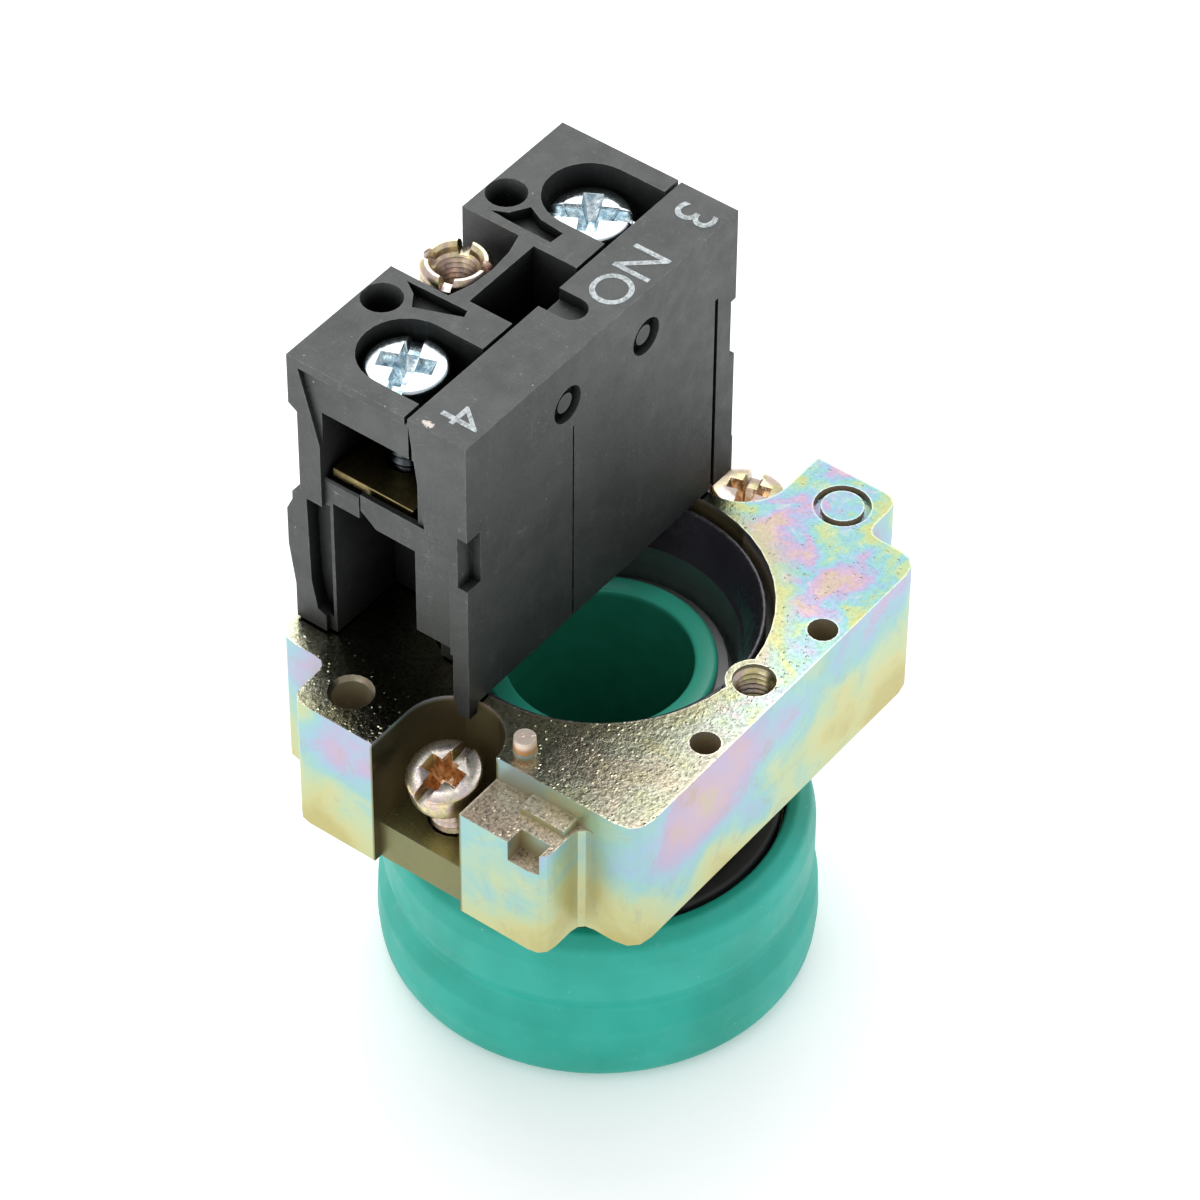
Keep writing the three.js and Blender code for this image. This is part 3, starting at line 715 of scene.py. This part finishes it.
def make_barrel():
    """The threadless barrel; the guide inside it is dusty."""
    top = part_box("head_barrel")[1].z / MM
    profile = rounded_profile([
        (9.9, 8.5, 0.2), (13.2, 8.5, 0.4), (13.2, 12, 0.2), (11.1, 12, 0.15),
        (11.1, top, 0.1), (10.85, top, 0.08), (9.7, 28.3, 0.06), (9.45, 28, 0.06),
        (9, 24.6, 0.08), (8.3, 24.6, 0.1), (8.3, 20, 0.1), (9.9, 20, 0.1),
    ], 3)
    obj = lathe("barrel_shell", profile, 160, 50)
    carve(obj, bar("boss_notch", 2.15, TAPPED_HOLE, (20.2, top + 1)))
    dress(stand_for(obj, "head_barrel"), "head_barrel")
    obj.data.materials.append(looks["dusty_guide"])
    guide_radius, guide_top = 9.46, 28.05
    for face in obj.data.polygons:
        x, y, z = face.center / MM
        if z < guide_top and math.hypot(x, y) < guide_radius:
            face.material_index = 1


def make_gasket():
    """The sealing ring behind the barrel's flange."""
    profile = rounded_profile([
        (11.4, 12.3, 0.1), (12.7, 12.3, 0.1), (12.7, 13.8, 0.3), (11.4, 13.8, 0.1),
    ], 3)
    obj = lathe("seal_ring", profile, 128, 50)
    dress(stand_for(obj, "panel_gasket"), "panel_gasket")


# ---- screws --------------------------------------------------------------------------------
def cross_outline(arm, half, z):
    """A twelve-cornered cross at height z."""
    quarter = [(arm, -half), (arm, half), (half, half)]
    points = []
    for c, s in [(1, 0), (0, 1), (-1, 0), (0, -1)]:
        points += [(c * x - s * y, s * x + c * y, z) for x, y in quarter]
    return points


def screw(name, head, shank, length, drive, twist):
    """A slotted cross-head screw hanging from the origin, with threads on its shank.

    head and shank are radii; drive is the cross's arm, its half width and its depth.
    """
    height, crown, pitch = 1.9, 0.12, 0.7
    profile = [(0, crown, 0), (head * 0.7, crown * 0.6, 0), (head, -0.05, 0.3),
               (head * 0.97, -height, 0.15), (shank, -height, 0.05)]
    z = -height - 0.3
    while z - pitch > -length:
        profile += [(shank, z, 0.06), (shank - 0.3, z - pitch / 2, 0.05)]
        z -= pitch
    profile += [(shank, z, 0), (shank - 0.5, -length, 0), (0, -length, 0)]
    obj = lathe(name, list(reversed(rounded_profile(profile, 3))), 64, 40, closed=False)
    arm, half, depth = drive
    top = crown + 0.2
    carve(obj, loft("cross", [
        cross_outline(arm * 0.4, half * 0.4, -depth),
        cross_outline(arm * 0.8, half * 0.9, -depth * 0.4),
        cross_outline(arm, half * 1.35, top),
    ]))
    slot = [(-head - 1, -half), (head + 1, -half), (head + 1, half), (-head - 1, half)]
    carve(obj, loft("slot", [
        [(x, y * 0.7, -depth * 0.42) for x, y in slot], [(x, y * 1.15, top) for x, y in slot],
    ]))
    soften(obj, 0.07, 35)
    obj.data.transform(Matrix.Rotation(math.radians(twist), 4, "Z"))
    return obj


def tint_recess(obj, head, material, share):
    """The faces of a screw's drive take a second material, inside `share` of the head."""
    obj.data.materials.append(material)
    for face in obj.data.polygons:
        x, y, z = face.center / MM
        if -1.95 < z < -0.08 and math.hypot(x, y) < head * share:
            face.material_index = 1


def finish_screw(obj, node, head, place, recess_look, share):
    """Paints a screw, tints its drive, puts it in place and lets it stand for its node."""
    paint(obj, looks[slot_of[node]])
    tint_recess(obj, head, recess_look, share)
    obj.data.transform(place)
    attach(stand_for(obj, node), body_of[node])


def make_terminal_screws():
    """The upright screws in the block's wells, each head 0.15 mm below its node's top."""
    for number, twist in ((3, 120), (4, 22)):
        node = f"terminal_screw_{number}"
        low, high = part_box(node)
        centre = (low + high) / 2
        head = (high.x - low.x) / 2 / MM
        length = (high.z - low.z) / MM - 0.2
        obj = screw(f"{node}_detail", head, 1.3, length, (2.0, 0.55, 1.5), twist)
        place = Matrix.Translation((centre.x, centre.y, high.z - 0.15 * MM))
        finish_screw(obj, node, head, place, looks["bright_recess"], 0.9)


def make_clamp_screws():
    """The leaning screws in the collar's slots, each along its joint's axis."""
    head = 2.65
    for letter, twist in (("a", 178), ("b", 20)):
        node = f"clamp_screw_{letter}"
        joint = next(j for j in frame["joints"] if j["child"] == node)
        up = -Vector(joint["axis"]).normalized()
        points = [v.co.copy() for v in frame["nodes"][node].data.vertices]
        back = max(p.dot(up) for p in points)
        ring = [p for p in points if p.dot(up) > back - 1e-5]
        middle = sum(((min(p[i] for p in ring) + max(p[i] for p in ring)) / 2 * axis
                      for i, axis in enumerate(Matrix.Identity(3))), Vector())
        obj = screw(f"{node}_detail", head, 1.75, 11.4, (1.55, 0.5, 1.8), twist)
        lean = Matrix.Rotation(math.atan2(up.x, up.z), 4, "Y")
        place = Matrix.Translation(middle - up * 0.15 * MM) @ lean
        finish_screw(obj, node, head, place, looks["yellow_recess"], 0.46)


def make_mounting_screw():
    """Hollow screw with a notched rim and a thread inside."""
    node = "mounting_screw"
    low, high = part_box(node)
    centre = (low + high) / 2
    top, bottom = high.z / MM, low.z / MM
    profile = [(0, bottom, 0), (0.8, bottom, 0), (1.15, bottom + 0.5, 0.1), (1.15, 36.9, 0),
               (2, 36.9, 0.1), (2, top - 4.4, 0.1), (2.42, top - 3.8, 0.1)]
    for z in (top - 1.9, top - 1.45, top - 1.0):
        profile += [(2.42, z, 0.05), (2.3, z + 0.15, 0.05), (2.42, z + 0.3, 0.05)]
    profile += [(2.42, top - 0.35, 0.1), (2.1, top, 0.12), (1.85, top, 0.12), (1.6, top - 0.3, 0.1)]
    z = top - 0.75
    while z > top - 4.5:
        profile += [(1.6, z, 0.03), (1.34, z - 0.22, 0.03)]
        z -= 0.44
    profile += [(1.5, top - 5.6, 0), (0, top - 5.6, 0)]
    obj = lathe(f"{node}_detail", rounded_profile(profile, 2), 72, 35, closed=False)
    for turn in (20, 110):
        strip = [(-3, -0.34), (3, -0.34), (3, 0.34), (-3, 0.34)]
        notch = loft("notch", [[(x, y, top - 0.85) for x, y in strip],
                               [(x, y * 1.7, top + 0.3) for x, y in strip]])
        notch.data.transform(Matrix.Rotation(math.radians(turn), 4, "Z"))
        carve(obj, notch)
    soften(obj, 0.09, 40)
    obj.data.transform(Matrix.Translation((centre.x, centre.y, 0)))
    dress(stand_for(obj, node), node)


def make_tapped_hole():
    """The thread inside the collar's open tapped hole."""
    wall, crest, pitch, depth = 1.46, 1.12, 0.46, 9
    top = COLLAR_BACK - 0.3
    profile = [(wall + 0.03, COLLAR_BACK - depth, 0), (wall + 0.03, top, 0)]
    z = top
    while z > COLLAR_BACK - depth:
        profile += [(wall, z, 0), (crest, z - pitch / 2, 0.03)]
        z -= pitch
    obj = lathe("tapped_thread", rounded_profile(profile, 2), 48, 30)
    obj.data.transform(Matrix.Translation(Vector((*TAPPED_HOLE, 0)) * MM))
    paint(obj, looks["yellow_zinc_steel"])
    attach(obj, "housing")


# ---- block ---------------------------------------------------------------------------------
MARKS = [  # name, letter, x, y and size in millimetres
    ("mark_3", "3", 12.85, 2.4, 4.3), ("mark_n", "N", 7.05, 2.35, 4.2),
    ("mark_o", "O", 3.85, 2.35, 4.1), ("mark_4", "4", -11.5, 2.4, 4.1),
]


def make_marks():
    """White terminal marks printed on the cover's back face."""
    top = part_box("block_cover")[1].z
    for name, letter, x, y, size in MARKS:
        text = bpy.data.curves.new(name, "FONT")
        text.body, text.size = letter, size * MM
        text.align_x = text.align_y = "CENTER"
        holder = bpy.data.objects.new(name, text)
        bpy.context.scene.collection.objects.link(holder)
        graph = bpy.context.evaluated_depsgraph_get()
        mesh = bpy.data.meshes.new_from_object(holder.evaluated_get(graph))
        bpy.data.objects.remove(holder)
        mesh.transform(Matrix.Rotation(math.pi, 4, "Z"))
        mesh.transform(Matrix.Translation((x * MM, y * MM, top + 0.02 * MM)))
        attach(paint(add_object(name, mesh), ink), "housing")


def make_plain(node, bevel, segments):
    dress(refined(node, bevel, segments), node)


def make_springs():
    """Each spring gets a refined stand-in with a mesh of its own."""
    for node, joint, taken in (("button_spring", "press", 4.0),
                               ("plunger_spring", "plunger_lift", 4.0),
                               ("bridge_spring", "plunger_lift", 1.52)):
        obj = dress(refined(node, 0.02, 1), node)
        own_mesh(obj)


make_boot()
make_tube()
make_barrel()
make_gasket()
make_terminal_screws()
make_clamp_screws()
make_mounting_screw()
make_plain("fixing_collar", 0.22, 3)
make_plain("block_base", 0.14, 2)
make_plain("block_cover", 0.14, 2)
make_plain("retaining_ring", 0.08, 2)
make_springs()
# every node that still shows gets a plain stand-in with small rounded edges
for node in frame["nodes"]:
    if not frame["nodes"][node].hide_render:
        make_plain(node, 0.05, 1)
make_tapped_hole()
make_marks()


# ---- floor, light and camera ---------------------------------------------------------------
def make_floor():
    """A plain square floor under the boot's front face."""
    z = cad_box[0].z
    side = 3.0
    corners = [(-side, -side, z), (side, -side, z), (side, side, z), (-side, side, z)]
    floor = add_mesh("floor", corners, [(0, 1, 2, 3)])
    paint(floor, floor_paper())


def make_light(name, place, size, power):
    """A square soft light aimed at the middle of the object."""
    aim = (0, 0, 0.03)
    lamp = bpy.data.lights.new(name, "AREA")
    lamp.shape, lamp.size, lamp.energy = "SQUARE", size, power
    obj = bpy.data.objects.new(name, lamp)
    obj.location = place
    obj.rotation_mode = "QUATERNION"
    obj.rotation_quaternion = (Vector(aim) - Vector(place)).to_track_quat("-Z", "Y")
    bpy.context.scene.collection.objects.link(obj)


def make_world():
    world = bpy.data.worlds.new("studio")
    world.use_nodes = True
    sky = world.node_tree.nodes["Background"]
    sky.inputs["Color"].default_value = (0.95, 0.97, 1, 1)
    sky.inputs["Strength"].default_value = 0.85
    bpy.context.scene.world = world


def make_camera():
    """Long lens from above, at the -X, -Y corner, aimed at the collar's back face."""
    azimuth, elevation, roll = (math.radians(a) for a in (-53.06, 44.88, 0.48))
    distance = 0.3735
    back = Vector((math.sin(azimuth) * math.cos(elevation),
                   -math.cos(azimuth) * math.cos(elevation), math.sin(elevation)))
    right = Vector((math.cos(azimuth), math.sin(azimuth), 0))
    up = back.cross(right)
    turned = right * math.cos(roll) + up * math.sin(roll)
    raised = up * math.cos(roll) - right * math.sin(roll)
    aim = Vector((0, 0, COLLAR_BACK * MM)) - turned * 0.03 * MM - raised * 0.2 * MM
    lens = bpy.data.cameras.new("camera")
    lens.lens, lens.sensor_width = 168, 36
    lens.clip_start, lens.clip_end = 0.01, 20
    camera = bpy.data.objects.new("camera", lens)
    axes = Matrix((turned, raised, back)).transposed().to_4x4()
    camera.matrix_world = Matrix.Translation(aim + back * distance) @ axes
    bpy.context.scene.collection.objects.link(camera)
    bpy.context.scene.camera = camera


make_floor()
make_world()
make_light("sky_box", (0.25, 0.25, 0.5), 0.6, 2.2)
make_light("left_box", (-0.5, 0.1, 0.3), 0.3, 0.3)
make_camera()
bpy.context.scene.view_settings.view_transform = "Standard"
